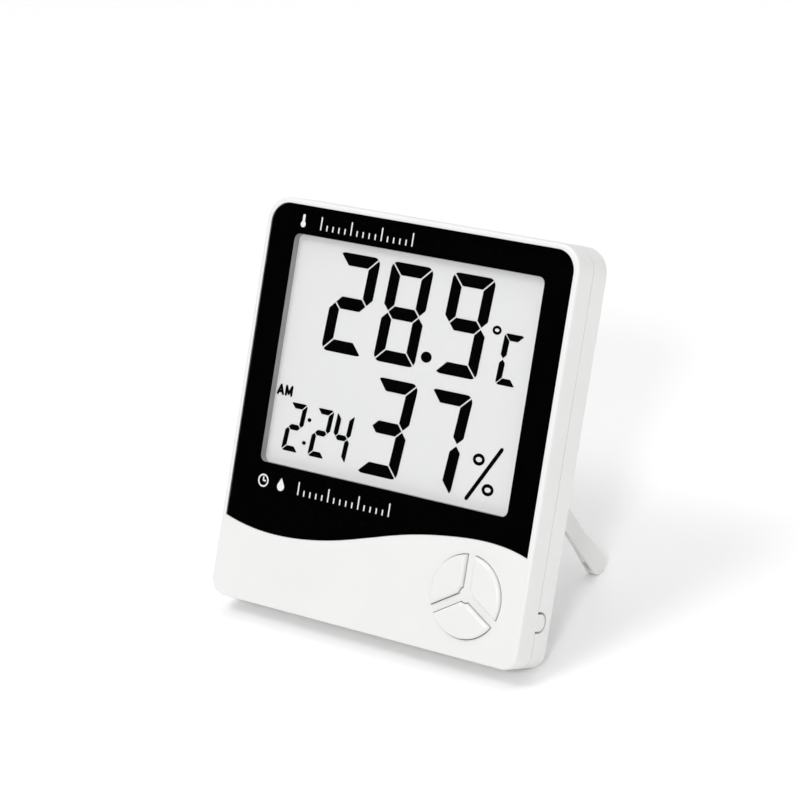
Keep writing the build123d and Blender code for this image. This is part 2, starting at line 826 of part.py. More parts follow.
def make_key_mat():
    """Rubber sheet on the board with a hole for each plunger."""
    sheet = span(tail_x0 + gap, button_x + mat_half, button_z - mat_half, button_z + mat_half)
    for name in ("left", "right", "bottom"):
        sheet -= Pos(*plunger_place(name)) * Circle(mat_hole_r)
    return slab(sheet, mat_y, board_y)


def make_battery_cell():
    """AAA cell along x, with a groove near its positive end and a nub on it."""
    body_end = cell_x1 - cell_nub_l
    cell = rod_x(cell_d / 2, cell_x0, body_end, cell_y, bay_z)
    cell = fillet(cell.edges().filter_by(GeomType.CIRCLE), cell_groove_d * 2)
    return cell + rod_x(cell_nub_r, body_end - root, cell_x1, cell_y, bay_z)


def contact_plate(x):
    """Sheet metal plate at one end of the bay, with a tab out through the bay's upper wall."""
    plate_outline = span(x, x + contact_t, bay_z - contact_w / 2, bay_z + bay_half)
    tab_outline = span(x, x + contact_t, bay_z, bay_top_z + tab_l)
    plate = slab(plate_outline, cell_y - contact_w / 2, cell_y + contact_w / 2)
    return plate + slab(tab_outline, cell_y - tab_w / 2, cell_y + tab_w / 2)


def make_battery_spring():
    """Coil spring on its plate, which presses the cell's flat end."""
    start = bay_x0 + contact_t
    height = cell_x0 - start - 2 * spring_wire_r
    path = Helix(
        pitch=height / spring_turns,
        height=height,
        radius=spring_r,
        center=(start + spring_wire_r, cell_y, bay_z),
        direction=(1, 0, 0),
    )
    coil = sweep(Plane(path @ 0, z_dir=path % 0) * Circle(spring_wire_r), path=path)
    foot = rod_x(spring_r + 2 * spring_wire_r, start - contact_t / 2, start + spring_wire_r, cell_y, bay_z)
    return contact_plate(bay_x0) + foot + coil


def make_battery_contact():
    """Flat spring plate at the cell's nub."""
    return contact_plate(bay_x1 - contact_t)


def make_lead(x):
    """Insulated lead from a contact's tab to the back of the board."""
    start = (x + contact_t / 2, cell_y, bay_top_z + tab_l)
    corner = (start[0], start[1], start[2] + lead_rise)
    end = (start[0], board_back_y, corner[2])
    path = FilletPolyline(start, corner, end, radius=lead_bend_r)
    return sweep(Plane(path @ 0, z_dir=path % 0) * Circle(lead_r), path=path)


def make_battery_door():
    """Sliding cover with rails along both edges; its left end follows the panel's side."""
    door = slab(span(-case_half, door_x1, bay_z - door_half, bay_z + door_half), door_y, panel_y)
    door += slab(span(-case_half, door_x1, bay_z - rail_half, bay_z + rail_half), door_y, door_y + rail_t)
    door = door & panel_form(door_y - overrun, panel_y, 0)
    for row in range(grip_count):
        x = door_x1 - (row + 1) * grip_pitch
        groove = span(x - grip_w / 2, x + grip_w / 2, bay_z - grip_l / 2, bay_z + grip_l / 2)
        door -= slab(groove, panel_y - grip_d, panel_y + overrun)
    return door


def leg_plane(x):
    """Plane square to x at the hinge: its first axis runs down the opened leg."""
    along = (0, math.cos(leg_slant), -math.sin(leg_slant))
    return Plane(origin=(x, hinge_y, hinge_z), x_dir=along, z_dir=(1, 0, 0))


def make_leg_bar():
    """Shank and foot along x, y through their thickness: side outline and flaring plan in one."""
    half = shank_t / 2
    top = half + foot_rise
    foot_start = leg_l - foot_l
    ramp_start = foot_start - foot_ramp
    flare_start = leg_l - flare_l
    foot = span(foot_start, leg_l, -half, top)
    foot = fillet(foot.vertices().sort_by(Axis.X)[-2:], foot_r)
    ramp = Polygon(
        (ramp_start, -half), (foot_start, -half), (foot_start, top), (ramp_start, half), align=None
    )
    side = span(0, foot_start, -half, half) + ramp + foot
    plan = Polygon(
        (0, -shank_w / 2), (flare_start, -shank_w / 2), (leg_l, -foot_w / 2),
        (leg_l, foot_w / 2), (flare_start, shank_w / 2), (0, shank_w / 2),
        align=None,
    )
    bar = extrude(side, foot_w, both=True) & extrude(Plane.XZ * plan, shank_t, both=True)
    across = bar.edges().filter_by(Axis.Y).sort_by(Axis.X)
    kept = across[:-2] + bar.edges().filter_by(Axis.Z)
    bar = fillet([edge for edge in bar.edges() if edge not in kept], leg_edge_r)
    hollow = Pos(leg_l - hollow_end - hollow_l / 2, 0) * SlotOverall(hollow_l, hollow_w)
    return bar - extrude(Plane.XZ.offset(half) * hollow, hollow_d, both=True)


def make_stand_leg():
    """Fold-out leg: hub with a heel that stops on the channel's floor, shank, foot and trunnions."""
    bar = leg_plane(leg_x).location * make_leg_bar()
    hub = rod_x(leg_hub_r, leg_x - hub_w / 2, leg_x + hub_w / 2, hinge_y, hinge_z)
    heel_outline = span(leg_x - hub_w / 2, leg_x + hub_w / 2, hinge_z, hinge_z + heel_h)
    heel = slab(heel_outline, hinge_y - leg_hub_r, hinge_y)
    reach = hub_w / 2 + (channel_half - hub_w / 2) + trunnion_l
    pins = rod_x(trunnion_r, leg_x - reach, leg_x + reach, hinge_y, hinge_z)
    return hub + heel + bar + pins


def make_controller_blob():
    """Resin blob over the chip, on the back of the board."""
    blob = rod_y(blob_r, 0, blob_z_share * case_h, board_back_y, board_back_y + blob_t)
    return fillet(blob.faces().sort_by(Axis.Y)[-1].edges(), blob_t - slip)


def make_quartz_crystal():
    """Watch crystal in a can, lying on the board, with two bent legs."""
    z0 = blob_z_share * case_h
    can = Pos(crystal_x, board_back_y + crystal_r, z0) * Cylinder(crystal_r, crystal_l)
    for side in (-1, 1):
        x = crystal_x + side * crystal_r / 2
        can += Pos(x, board_back_y + sensor_leg_r, z0 - crystal_l / 2) * Cylinder(sensor_leg_r, crystal_l / 2)
    return can


def make_capacitor(number):
    """One of the electrolytic capacitors standing on the board."""
    x = -crystal_x - capacitor_pitch * number
    z = blob_z_share * case_h + capacitor_pitch
    can = rod_y(capacitor_r, x, z, board_back_y, board_back_y + capacitor_h)
    return fillet(can.faces().sort_by(Axis.Y)[-1].edges(), capacitor_edge_r)


def make_resistor(number):
    """One chip of a row, lying on the board below the resin blob."""
    width, height, depth = resistor_size
    x = (number - (resistor_count + 1) / 2) * resistor_pitch
    z = blob_z_share * case_h - blob_r - resistor_pitch
    return slab(Pos(x, z) * Rectangle(width, depth), board_back_y, board_back_y + height)


def make_humidity_sensor():
    """Small comb plate on two legs, behind the right vents."""
    y0 = board_back_y + sensor_lift
    plate = slab(Pos(vent_x, vent_z) * RectangleRounded(sensor_w, sensor_h, sensor_t), y0, y0 + sensor_t)
    for side in (-1, 1):
        x = vent_x + side * sensor_leg_pitch / 2
        plate += rod_y(sensor_leg_r, x, vent_z - sensor_h / 2 + sensor_t, board_back_y, y0 + sensor_t / 2)
    return plate


def make_temperature_sensor():
    """Resin bead on two legs, behind the left vents."""
    y0 = board_back_y + sensor_lift
    bead = Pos(-vent_x, y0 + bead_r, vent_z) * Sphere(bead_r)
    for side in (-1, 1):
        bead += rod_y(sensor_leg_r, side * bead_r / 2 - vent_x, vent_z, board_back_y, y0 + bead_r)
    return bead


def make_buzzer_plate():
    """Brass disc of the sounder, on the inside of the raised panel."""
    return rod_y(buzzer_r, buzzer_x, buzzer_z, panel_y - wall - buzzer_t, panel_y - wall)


def make_buzzer_ceramic():
    """White ceramic disc on the brass one."""
    y1 = panel_y - wall - buzzer_t
    return rod_y(ceramic_r, buzzer_x, buzzer_z, y1 - ceramic_t, y1)


def make_buzzer_lead(side):
    """One of the thin leads from the sounder to the board, with two bends."""
    y0 = panel_y - wall - buzzer_t - ceramic_t
    middle_y = (y0 + board_back_y) / 2
    x = buzzer_x + side * buzzer_lead_step
    points = (
        (x, y0, buzzer_z),
        (x, middle_y, buzzer_z),
        (x, middle_y, buzzer_z + buzzer_lead_step),
        (x, board_back_y, buzzer_z + buzzer_lead_step),
    )
    path = FilletPolyline(*points, radius=buzzer_lead_bend_r)
    return sweep(Plane(path @ 0, z_dir=path % 0) * Circle(buzzer_lead_r), path=path)


def make_pieces():
    """Every piece in the case frame, by its node's name."""
    pieces = {
        "front_shell": make_front_shell(),
        "rear_shell": make_rear_shell(),
        "lens_panel": make_lens_panel(),
        "lens_mask": make_lens_mask(),
        "lens_print": make_lens_print(),
        "lcd_segments": make_lcd_segments(),
        "lcd_gasket": make_lcd_gasket(),
        "lcd_front_polariser": make_lcd_front_polariser(),
        "lcd_front_glass": make_lcd_front_glass(),
        "lcd_rear_glass": make_lcd_rear_glass(),
        "lcd_reflector": make_lcd_reflector(),
        "lcd_frame": make_lcd_frame(),
        "zebra_strip_top": make_zebra_strip(1),
        "zebra_strip_bottom": make_zebra_strip(-1),
        "main_board": make_main_board(),
        "controller_blob": make_controller_blob(),
        "quartz_crystal": make_quartz_crystal(),
        "humidity_sensor": make_humidity_sensor(),
        "temperature_sensor": make_temperature_sensor(),
        "buzzer_plate": make_buzzer_plate(),
        "buzzer_ceramic": make_buzzer_ceramic(),
        "buzzer_lead_1": make_buzzer_lead(-1),
        "buzzer_lead_2": make_buzzer_lead(1),
        "key_mat": make_key_mat(),
        "battery_cell": make_battery_cell(),
        "battery_spring": make_battery_spring(),
        "battery_contact": make_battery_contact(),
        "lead_negative": make_lead(bay_x0),
        "lead_positive": make_lead(bay_x1 - contact_t),
        "battery_door": make_battery_door(),
        "stand_leg": make_stand_leg(),
    }
    for name in ("left", "right", "bottom"):
        pieces["button_" + name] = make_button(name)
        pieces["plunger_" + name] = make_plunger(name)
    for number, (x, z) in enumerate(case_screw_places, 1):
        pieces[f"case_screw_{number}"] = make_case_screw(x, z)
    for number, (x, z) in enumerate(board_screw_places, 1):
        pieces[f"board_screw_{number}"] = make_board_screw(x, z)
    for number in range(1, capacitor_count + 1):
        pieces[f"capacitor_{number}"] = make_capacitor(number)
    for number in range(1, resistor_count + 1):
        pieces[f"resistor_{number}"] = make_resistor(number)
    return pieces


def lean_angle():
    """Degrees that the case leans back when its rear edge and the leg's foot stand on one floor.

    Both touch with a round edge. With A and B the steps in z and y from the edge's centre to the
    foot's, and C the difference of their radii, A cos(lean) - B sin(lean) = C.
    """
    along = leg_l - foot_r
    across = foot_r - shank_t / 2
    foot_y = hinge_y + along * math.cos(leg_slant) + across * math.sin(leg_slant)
    foot_z = hinge_z - along * math.sin(leg_slant) + across * math.cos(leg_slant)
    rise = foot_z - rear_edge_r
    run = foot_y - (rim_y - rear_edge_r)
    return math.degrees(math.acos((foot_r - rear_edge_r) / math.hypot(rise, run)) - math.atan2(run, rise))


def standing_place(shapes):
    """Where the leaned case goes, so that its box's bottom centre is the origin."""
    leaned = Rot(X=-lean_angle())
    boxes = [(leaned * shape).bounding_box() for shape in shapes]
    x = (min(box.min.X for box in boxes) + max(box.max.X for box in boxes)) / 2
    y = (min(box.min.Y for box in boxes) + max(box.max.Y for box in boxes)) / 2
    z = min(box.min.Z for box in boxes)
    return Pos(-x, -y, -z) * leaned


def main():
    """Write one STEP file for each piece, in its standing place."""
    os.makedirs("parts", exist_ok=True)
    pieces = make_pieces()
    place = standing_place(pieces.values())
    for name, piece in pieces.items():
        export_step(place * piece, os.path.join("parts", name + ".step"))
    offset = place.position
    print("lean", lean_angle(), "offset", tuple(offset))


main()
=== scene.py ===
"""Looks of a desk clock with a thermometer and a hygrometer: finishes, battery, small marks and stage."""
import json
import math

import bmesh
import bpy
import numpy as np
from bpy.props import FloatProperty, FloatVectorProperty, PointerProperty
from bpy.types import Operator, Panel, PropertyGroup
from mathutils import Matrix, Vector


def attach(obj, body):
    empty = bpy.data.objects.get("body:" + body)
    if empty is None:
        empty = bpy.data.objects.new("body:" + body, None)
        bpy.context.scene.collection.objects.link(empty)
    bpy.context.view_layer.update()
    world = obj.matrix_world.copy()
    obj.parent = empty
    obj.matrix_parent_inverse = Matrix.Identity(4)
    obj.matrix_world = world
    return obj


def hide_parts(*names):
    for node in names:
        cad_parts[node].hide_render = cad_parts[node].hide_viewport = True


bl_info = {
    "name": "Thermometer hygrometer clock",
    "version": (1, 0, 0),
    "blender": (4, 5, 0),
    "location": "3D View > Sidebar > Clock",
    "description": "Finishes and small pieces of a desk clock with a thermometer and a hygrometer",
    "category": "Object",
}

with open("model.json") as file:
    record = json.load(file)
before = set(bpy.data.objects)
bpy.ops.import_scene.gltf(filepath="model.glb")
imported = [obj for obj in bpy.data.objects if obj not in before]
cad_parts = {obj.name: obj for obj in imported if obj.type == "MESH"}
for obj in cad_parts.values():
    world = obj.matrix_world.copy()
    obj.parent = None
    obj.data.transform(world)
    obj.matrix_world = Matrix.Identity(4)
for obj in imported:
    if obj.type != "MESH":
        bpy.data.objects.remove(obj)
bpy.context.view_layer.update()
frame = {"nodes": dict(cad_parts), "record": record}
nodes = frame["nodes"]
mounts = {mount["name"]: mount for mount in frame["record"]["mounts"]}
MM = 0.001
MERGE_DISTANCE = 1e-7
SENSOR_WIDTH = 36        # of the camera, in millimetres
MIX_COLOURS = (6, 7)     # a mix node's two colour inputs
MIX_RESULT = 2           # and its colour output
GROUP_RESULTS = (("Color", "Color"), ("Roughness", "Float"), ("Height", "Float"))

# Detail of the noise in clouds, grain and streaks
CLOUD_DETAIL = 3
GRAIN_DETAIL = 2
STREAK_DETAIL = 4

# Spans of roughness, the first three as steps from the case's own roughness
CASE_STEPS = (-0.05, 0.05)
LEG_STEPS = (0, 0.1)
BUTTON_STEPS = (-0.12, -0.04)
RUBBER_ROUGH = (0.6, 0.8)
INK_ROUGH = (0.5, 0.6)
WALL_ROUGH = (0.6, 0.7)
BOARD_ROUGH = (0.25, 0.4)
EPOXY_ROUGH = (0.2, 0.35)
STEEL_ROUGH = (0.18, 0.32)
SLEEVE_ROUGH = (0.2, 0.3)

# Shares of the case's grain: its height on the buttons, its height in inks, its size on the display
BUTTON_GRAIN_SHARE = 0.5
INK_GRAIN_SHARE = 0.25
FACE_GRAIN_SHARE = 0.5

# Moulded inner pieces: material, colour, shade, size of the mottling or None for the case's, span of
# roughness, and what their nodes' names start with
MOULDED_PIECES = (
    ("frame_plastic", (0.72, 0.72, 0.69), (0.66, 0.66, 0.62), None, (0.4, 0.55), ("lcd_frame",)),
    ("capacitor_sleeve", (0.012, 0.014, 0.04), (0.016, 0.018, 0.05), None, (0.3, 0.4), ("capacitor_",)),
    ("chip_black", (0.015, 0.015, 0.015), (0.03, 0.03, 0.03), 1.2 * MM, (0.5, 0.6), ("resistor_",)),
    ("sensor_ceramic", (0.66, 0.70, 0.74), (0.58, 0.62, 0.68), 1.5 * MM, (0.4, 0.6), ("humidity_sensor",)),
    ("buzzer_ceramic_white", (0.78, 0.77, 0.73), (0.70, 0.69, 0.65), 2 * MM, (0.3, 0.5),
     ("buzzer_ceramic",)),
    ("wire_red", (0.5, 0.015, 0.015), (0.42, 0.012, 0.012), None, (0.35, 0.45),
     ("buzzer_lead_1", "lead_positive")),
    ("wire_black", (0.01, 0.01, 0.01), (0.014, 0.014, 0.014), None, (0.35, 0.45),
     ("buzzer_lead_2", "lead_negative")),
)

# Drawn or rolled inner pieces: material, colour, shade, stretch of the streaks, span of roughness, share
# of metal, and what their nodes' names start with
DRAWN_PIECES = (
    ("reflector_silver", (0.75, 0.76, 0.77), (0.70, 0.71, 0.72), (900, 4000, 900), (0.35, 0.5), 1.0,
     ("lcd_reflector",)),
    ("zebra_rubber", (0.70, 0.42, 0.44), (0.05, 0.05, 0.05), (9000, 40, 40), (0.6, 0.8), 0.0,
     ("zebra_strip_",)),
    ("can_steel", (0.75, 0.74, 0.72), (0.6, 0.6, 0.58), (4000, 4000, 300), (0.2, 0.35), 1.0,
     ("quartz_crystal",)),
    ("buzzer_brass", (0.72, 0.50, 0.20), (0.62, 0.42, 0.16), (3000, 300, 3000), (0.2, 0.35), 1.0,
     ("buzzer_plate",)),
    ("screw_steel", (0.62, 0.62, 0.63), (0.48, 0.48, 0.49), (2500, 2500, 2500), (0.25, 0.4), 1.0,
     ("case_screw_", "board_screw_")),
)

# Cell: points round it and on its bends, the flat of its rear end as a share of its radius, and the
# nub's foot as a share of the nub's radius
TURN_STEPS = 72
SLEEVE_BEND_STEPS = 9
CAN_BEND_STEPS = 7
END_SHARE = 0.6
NUB_FOOT_SHARE = 1.25

# Raised arrow: points on each of its edges, and each ring's width and height as shares of the arrow's
ARROW_STEPS = 6
ARROW_LEVELS = ((1, -5 / 6), (1, 0), (0.9, 0.8), (0.82, 1), (0, 1))

FLOOR_STEPS = 3          # points along each side of the floor

# Lights: name, place, size, and the stage property that holds the power
LIGHTS = (
    ("key_light", (1.13, -2.26, 1.67), 0.45, "key"),
    ("front_light", (-0.6, -0.9, 2.1), 0.8, "front"),
    ("top_light", (-0.3, 0.8, 2.4), 2.6, "top"),
    ("side_light", (2.2, 0.3, 1.2), 1.6, "side"),
)


def vertex_array(obj):
    """All vertices of a mesh object as rows of x, y and z."""
    rows = np.empty(len(obj.data.vertices) * 3)
    obj.data.vertices.foreach_get("co", rows)
    return rows.reshape(-1, 3)


def find_case_frame():
    """Rotation and origin of the leaning case.

    In its own frame the case stands upright: x right, y from the front face to the back, z up. The
    back's mount gives the lean, and the front shell's lowest depth and height give the origin.
    """
    axis = mounts["back_face"]["axis"]
    turn = np.array(Matrix.Rotation(-math.atan2(-axis[2], axis[1]), 3, "X"))
    upright = vertex_array(nodes["front_shell"]) @ turn
    low, high = upright.min(0), upright.max(0)
    return turn, turn @ np.array([(low[0] + high[0]) / 2, low[1], low[2]])


case_turn, case_origin = find_case_frame()


def to_row(points):
    """Points of the upright case frame in the object's frame."""
    return np.asarray(points) @ case_turn.T + case_origin


def case_box(node):
    """Lowest and highest corner of a CAD node in the upright case frame."""
    upright = (vertex_array(nodes[node]) - case_origin) @ case_turn
    return upright.min(0), upright.max(0)


def colour_prop(name, default, description):
    """Colour property without alpha."""
    return FloatVectorProperty(
        name=name, subtype="COLOR", size=3, min=0, max=1, default=default, description=description
    )


def length_prop(name, default, description):
    """Length property in metres."""
    return FloatProperty(
        name=name, unit="LENGTH", subtype="DISTANCE", default=default, description=description
    )


def power_prop(name, default, description):
    """Power of a light in watts."""
    return FloatProperty(name=name, min=0, default=default, description=description)


def share_prop(name, default, description):
    """Share between nothing and all."""
    return FloatProperty(name=name, subtype="FACTOR", min=0, max=1, default=default, description=description)


def ior_prop(name, default, description):
    """Index of refraction."""
    return FloatProperty(name=name, min=1, default=default, description=description)


class ClockCaseProps(PropertyGroup):
    """White mouldings: both shells, buttons, leg and battery door."""

    white: colour_prop("White", (0.84, 0.84, 0.835), "Colour of the mouldings")
    shade: colour_prop("Shade", (0.80, 0.80, 0.79), "Colour of the faint mottling")
    leg_white: colour_prop("Leg white", (0.80, 0.795, 0.78), "Colour of the leg, a little warmer")
    grain: length_prop("Grain", 0.35 * MM, "Size of the spark-eroded texture")
    grain_height: length_prop("Grain height", 0.006 * MM, "Height of the spark-eroded texture")
    mottle: length_prop("Mottle", 18 * MM, "Size of the mottling")
    roughness: share_prop("Roughness", 0.42, "Roughness of the satin finish")
    ior: ior_prop("IOR", 1.47, "Index of refraction of the plastic")


class ClockPanelProps(PropertyGroup):
    """Clear sheet with its black and white inks."""

    black: colour_prop("Black", (0.0008, 0.0008, 0.0009), "Colour of the black ink")
    black_shade: colour_prop("Black shade", (0.0012, 0.0012, 0.0013), "Colour of its faint clouding")
    white: colour_prop("White", (0.88, 0.88, 0.88), "Colour of the white ink")
    white_shade: colour_prop("White shade", (0.84, 0.84, 0.84), "Colour of its faint clouding")
    clear: colour_prop("Clear", (1.0, 1.0, 1.0), "Tint of the sheet")
    roughness: share_prop("Roughness", 0.02, "Roughness of the sheet")
    ior: ior_prop("IOR", 1.49, "Index of refraction of the sheet")
    film_gap: length_prop("Film gap", 0.04 * MM, "Clearance between the sheet and its ink")


class ClockDisplayProps(PropertyGroup):
    """Liquid crystal display and the wall round it, its grey darkened to paint the shade in the recess."""

    face: colour_prop("Face", (0.80, 0.805, 0.80), "Colour of the display's face")
    face_shade: colour_prop("Face shade", (0.78, 0.785, 0.785), "Colour of its faint clouding")
    face_gloss: share_prop("Face gloss", 0.2, "Weight of the face's mirror-like part")
    segments: colour_prop("Segments", (0.0012, 0.0012, 0.0014), "Colour of the dark segments")
    segment_shade: colour_prop("Segment shade", (0.002, 0.002, 0.0022), "Colour of their faint clouding")
    # The wall's two greys are darker than the gasket's own grey: they paint the shade in the recess round
    # the display
    wall: colour_prop("Wall", (0.33, 0.32, 0.32), "Colour of the wall round the display")
    wall_shade: colour_prop("Wall shade", (0.29, 0.28, 0.28), "Colour of its faint clouding")
    glass: colour_prop("Glass", (0.96, 0.98, 0.97), "Tint of the two glasses")
    glass_roughness: share_prop("Glass roughness", 0.01, "Roughness of the two glasses")
    glass_ior: ior_prop("Glass IOR", 1.52, "Index of refraction of the two glasses")


class ClockBoardProps(PropertyGroup):
    """Circuit board and what stands on it."""

    mask: colour_prop("Solder mask", (0.015, 0.11, 0.035), "Colour of the board over bare ground")
    trace: colour_prop("Trace", (0.03, 0.19, 0.06), "Colour of the board over its copper")
    trace_stretch: FloatVectorProperty(
        name="Trace stretch", default=(260, 260, 700), description="How fine the copper shows on each axis"
    )
    trace_height: length_prop("Trace height", 0.02 * MM, "How far the copper stands up")
    epoxy: colour_prop("Epoxy", (0.006, 0.006, 0.007), "Colour of the chip's resin")
    epoxy_shade: colour_prop("Epoxy shade", (0.012, 0.012, 0.014), "Colour of its faint clouding")
    epoxy_grain: length_prop("Epoxy grain", 0.8 * MM, "Size of the resin's waves")
    epoxy_height: length_prop("Epoxy height", 0.01 * MM, "Height of the resin's waves")
    rubber: colour_prop("Rubber", (0.42, 0.42, 0.43), "Colour of the key mat")
    rubber_shade: colour_prop("Rubber shade", (0.38, 0.38, 0.39), "Colour of its faint clouding")


class ClockBatteryProps(PropertyGroup):
    """Cell and its contacts."""

    sleeve: colour_prop("Sleeve", (0.02, 0.022, 0.026), "Colour of the cell's sleeve")
    sleeve_shade: colour_prop("Sleeve shade", (0.03, 0.032, 0.038), "Colour of its faint clouding")
    sleeve_grain: length_prop("Sleeve grain", 0.5 * MM, "Size of the sleeve's fine texture")
    sleeve_mottle: length_prop("Sleeve mottle", 50 / 3 * MM, "Size of the sleeve's clouding")
    coat: share_prop("Coat", 0.4, "Weight of the clear coat over the sleeve")
    band: colour_prop("Band", (0.62, 0.36, 0.12), "Colour of the band at the nub's end")
    band_share: share_prop("Band share", 0.24, "Length of the band, of the sleeve's")
    steel: colour_prop("Steel", (0.72, 0.71, 0.69), "Colour of the nickel-plated parts")
    steel_shade: colour_prop("Steel shade", (0.58, 0.57, 0.55), "Colour of their faint clouding")
    steel_stretch: FloatVectorProperty(
        name="Steel stretch", default=(3000, 3000, 3000), description="How fine the clouding is on each axis"
    )
    sleeve_t: length_prop("Sleeve thickness", 0.1 * MM, "Thickness of the sleeve")
    curl: length_prop("Curl", 0.9 * MM, "How far the sleeve curls over the ends")
    nub_r: length_prop("Nub radius", 1.9 * MM, "Radius of the raised contact")
    nub_l: length_prop("Nub length", 1.2 * MM, "Height of the raised contact")


class ClockMarkProps(PropertyGroup):
    """Raised arrow on the battery door."""

    length: length_prop("Length", 6.0 * MM, "Length of the arrow")
    width: length_prop("Width", 5.0 * MM, "Width of the arrow's head")
    height: length_prop("Height", 0.3 * MM, "Height of the arrow over the door")
    slope: length_prop("Slope", 0.25 * MM, "Width of the arrow's sloping edge")


class ClockStageProps(PropertyGroup):
    """Floor, lights and camera. Camera vectors are in the upright case frame."""

    floor: colour_prop("Floor", (0.98, 0.98, 0.98), "Colour of the floor")
    floor_size: length_prop("Floor size", 6.0, "Side of the square floor")
    floor_roughness: share_prop("Floor roughness", 0.7, "Roughness of the floor")
    flag_size: length_prop("Flag size", 1.2, "Side of the black card that only reflections see")
    flag_reach: FloatProperty(
        name="Flag reach", default=1.2, description="How far off the card is, of the camera's distance"
    )
    focal: FloatProperty(name="Focal length", default=144.2, description="Focal length in millimetres")
    place: FloatVectorProperty(
        name="Camera place", subtype="TRANSLATION", unit="LENGTH", default=(0.4809, -0.6695, 0.1225),
        description="Place of the camera",
    )
    target: FloatVectorProperty(
        name="Target", subtype="TRANSLATION", unit="LENGTH", default=(0, 0, 0.05),
        description="What the lights face",
    )
    forward: FloatVectorProperty(
        name="Forward", default=(-0.58, 0.8112, -0.0742), description="Direction of the view"
    )
    right: FloatVectorProperty(
        name="Right", default=(0.7967, 0.5839, 0.1563), description="Direction of the picture's right side"
    )
    world: share_prop("World", 0.42, "Strength of the even light from all round")
    key: power_prop("Key light", 25.5, "Power of the light by the camera, in watts")
    front: power_prop("Front light", 14.7, "Power of the high light in front, in watts")
    top: power_prop("Top light", 24.0, "Power of the light above, in watts")
    side: power_prop("Side light", 6.5, "Power of the light at the right, in watts")


def new_group(name, inputs, outputs):
    """Empty shader group with colour, value and vector sockets given as name and kind."""
    tree = bpy.data.node_groups.new(name, "ShaderNodeTree")
    for in_out, sockets in (("INPUT", inputs), ("OUTPUT", outputs)):
        for socket, kind in sockets:
            tree.interface.new_socket(name=socket, in_out=in_out, socket_type="NodeSocket" + kind)
    return tree, tree.nodes.new("NodeGroupInput"), tree.nodes.new("NodeGroupOutput")


def add_noise(tree, vector, scale, detail):
    """Noise texture, its scale either a number or a socket."""
    noise = tree.nodes.new("ShaderNodeTexNoise")
    noise.inputs["Detail"].default_value = detail
    tree.links.new(vector, noise.inputs["Vector"])
    if isinstance(scale, (int, float)):
        noise.inputs["Scale"].default_value = scale
    else:
        tree.links.new(scale, noise.inputs["Scale"])
    return noise.outputs["Fac"]


def add_range(tree, value, low, high):
    """Map a value from 0 to 1 onto the span between two sockets."""
    node = tree.nodes.new("ShaderNodeMapRange")
    tree.links.new(value, node.inputs["Value"])
    tree.links.new(low, node.inputs["To Min"])
    tree.links.new(high, node.inputs["To Max"])
    return node.outputs["Result"]


def add_mix(tree, factor, first, second):
    """Mix two colours, each a socket or a colour."""
    node = tree.nodes.new("ShaderNodeMix")
    node.data_type = "RGBA"
    tree.links.new(factor, node.inputs["Factor"])
    for index, colour in zip(MIX_COLOURS, (first, second)):
        if isinstance(colour, bpy.types.NodeSocket):
            tree.links.new(colour, node.inputs[index])
        else:
            node.inputs[index].default_value = (*colour, 1)
    return node.outputs[MIX_RESULT]


def end_group(tree, leave, factor, enter, height):
    """Mix the two colours and the span of roughness by one factor, and hand on a height."""
    colour = add_mix(tree, factor, enter.outputs["Colour"], enter.outputs["Shade"])
    gloss = add_range(tree, factor, enter.outputs["Roughness low"], enter.outputs["Roughness high"])
    tree.links.new(colour, leave.inputs["Color"])
    tree.links.new(gloss, leave.inputs["Roughness"])
    tree.links.new(height, leave.inputs["Height"])
    return tree


def moulded_group():
    """Moulded surface: clouds between two colours, a fine grain as height, and uneven gloss."""
    inputs = (
        ("Colour", "Color"), ("Shade", "Color"), ("Grain scale", "Float"), ("Mottle scale", "Float"),
        ("Roughness low", "Float"), ("Roughness high", "Float"),
    )
    tree, enter, leave = new_group("Moulded", inputs, GROUP_RESULTS)
    place = tree.nodes.new("ShaderNodeTexCoord").outputs["Object"]
    clouds = add_noise(tree, place, enter.outputs["Mottle scale"], CLOUD_DETAIL)
    grain = add_noise(tree, place, enter.outputs["Grain scale"], GRAIN_DETAIL)
    return end_group(tree, leave, clouds, enter, grain)


def drawn_group():
    """Drawn or rolled metal: noise stretched along one axis, as streaks in gloss and height."""
    inputs = (
        ("Colour", "Color"), ("Shade", "Color"), ("Stretch", "Vector"), ("Roughness low", "Float"),
        ("Roughness high", "Float"),
    )
    tree, enter, leave = new_group("Drawn", inputs, GROUP_RESULTS)
    place = tree.nodes.new("ShaderNodeTexCoord").outputs["Object"]
    stretch = tree.nodes.new("ShaderNodeVectorMath")
    stretch.operation = "MULTIPLY"
    tree.links.new(place, stretch.inputs[0])
    tree.links.new(enter.outputs["Stretch"], stretch.inputs[1])
    streaks = add_noise(tree, stretch.outputs[0], 1.0, STREAK_DETAIL)
    return end_group(tree, leave, streaks, enter, streaks)


def shared_group(name, maker):
    """The named shader group, built the first time that it is asked for."""
    return bpy.data.node_groups.get(name) or maker()


def new_material(name, group=None, values=None, bump=0.0, **shader_values):
    """Principled material. A group's outputs feed colour, roughness and a bump of the given height."""
    material = bpy.data.materials.new(name)
    material.use_nodes = True
    tree = material.node_tree
    shader = tree.nodes["Principled BSDF"]
    for socket, value in shader_values.items():
        shader.inputs[socket.replace("_", " ")].default_value = value
    if group is None:
        return material
    box = tree.nodes.new("ShaderNodeGroup")
    box.node_tree = group
    for socket, value in values.items():
        if socket in ("Colour", "Shade"):
            value = (*value, 1)
        box.inputs[socket].default_value = value
    tree.links.new(box.outputs["Color"], shader.inputs["Base Color"])
    tree.links.new(box.outputs["Roughness"], shader.inputs["Roughness"])
    if bump:
        node = tree.nodes.new("ShaderNodeBump")
        node.inputs["Distance"].default_value = bump
        tree.links.new(box.outputs["Height"], node.inputs["Height"])
        tree.links.new(node.outputs["Normal"], shader.inputs["Normal"])
    return material


